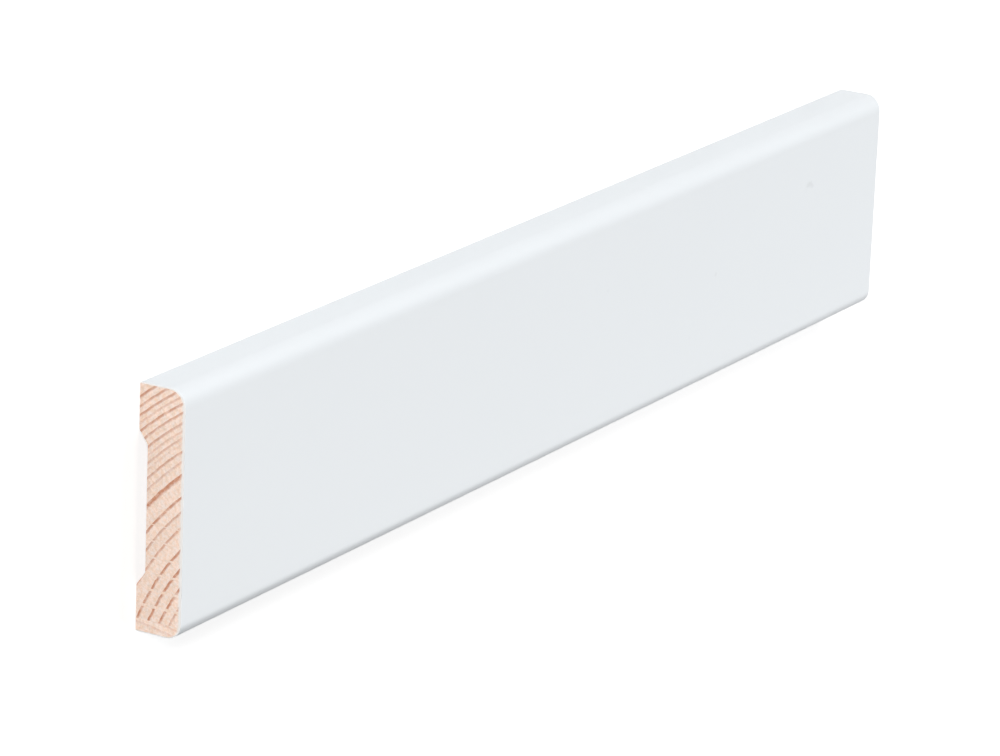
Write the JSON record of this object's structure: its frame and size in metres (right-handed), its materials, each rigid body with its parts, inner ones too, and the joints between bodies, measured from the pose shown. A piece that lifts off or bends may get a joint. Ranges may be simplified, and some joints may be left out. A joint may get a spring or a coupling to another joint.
{
  "type": "window architrave",
  "caption": "Flat pine window architrave with a large round on one face arris, a smaller round on the other and a shallow relief along its back, painted white, with square-cut ends.",
  "frame": {"origin": "on the plane of the two back lands, midway along the length and midway across the width", "axes": "+X along the moulding, +Y towards the edge with the large round, +Z out of the painted face, so that it lies on its back on a level floor"},
  "size_m": [0.33, 0.058, 0.012],
  "materials": {
    "white_paint": "satin",
    "bare_pine": "matte"
  },
  "bodies": {
    "root": {"architrave": "white_paint"}
  },
  "joints": []
}
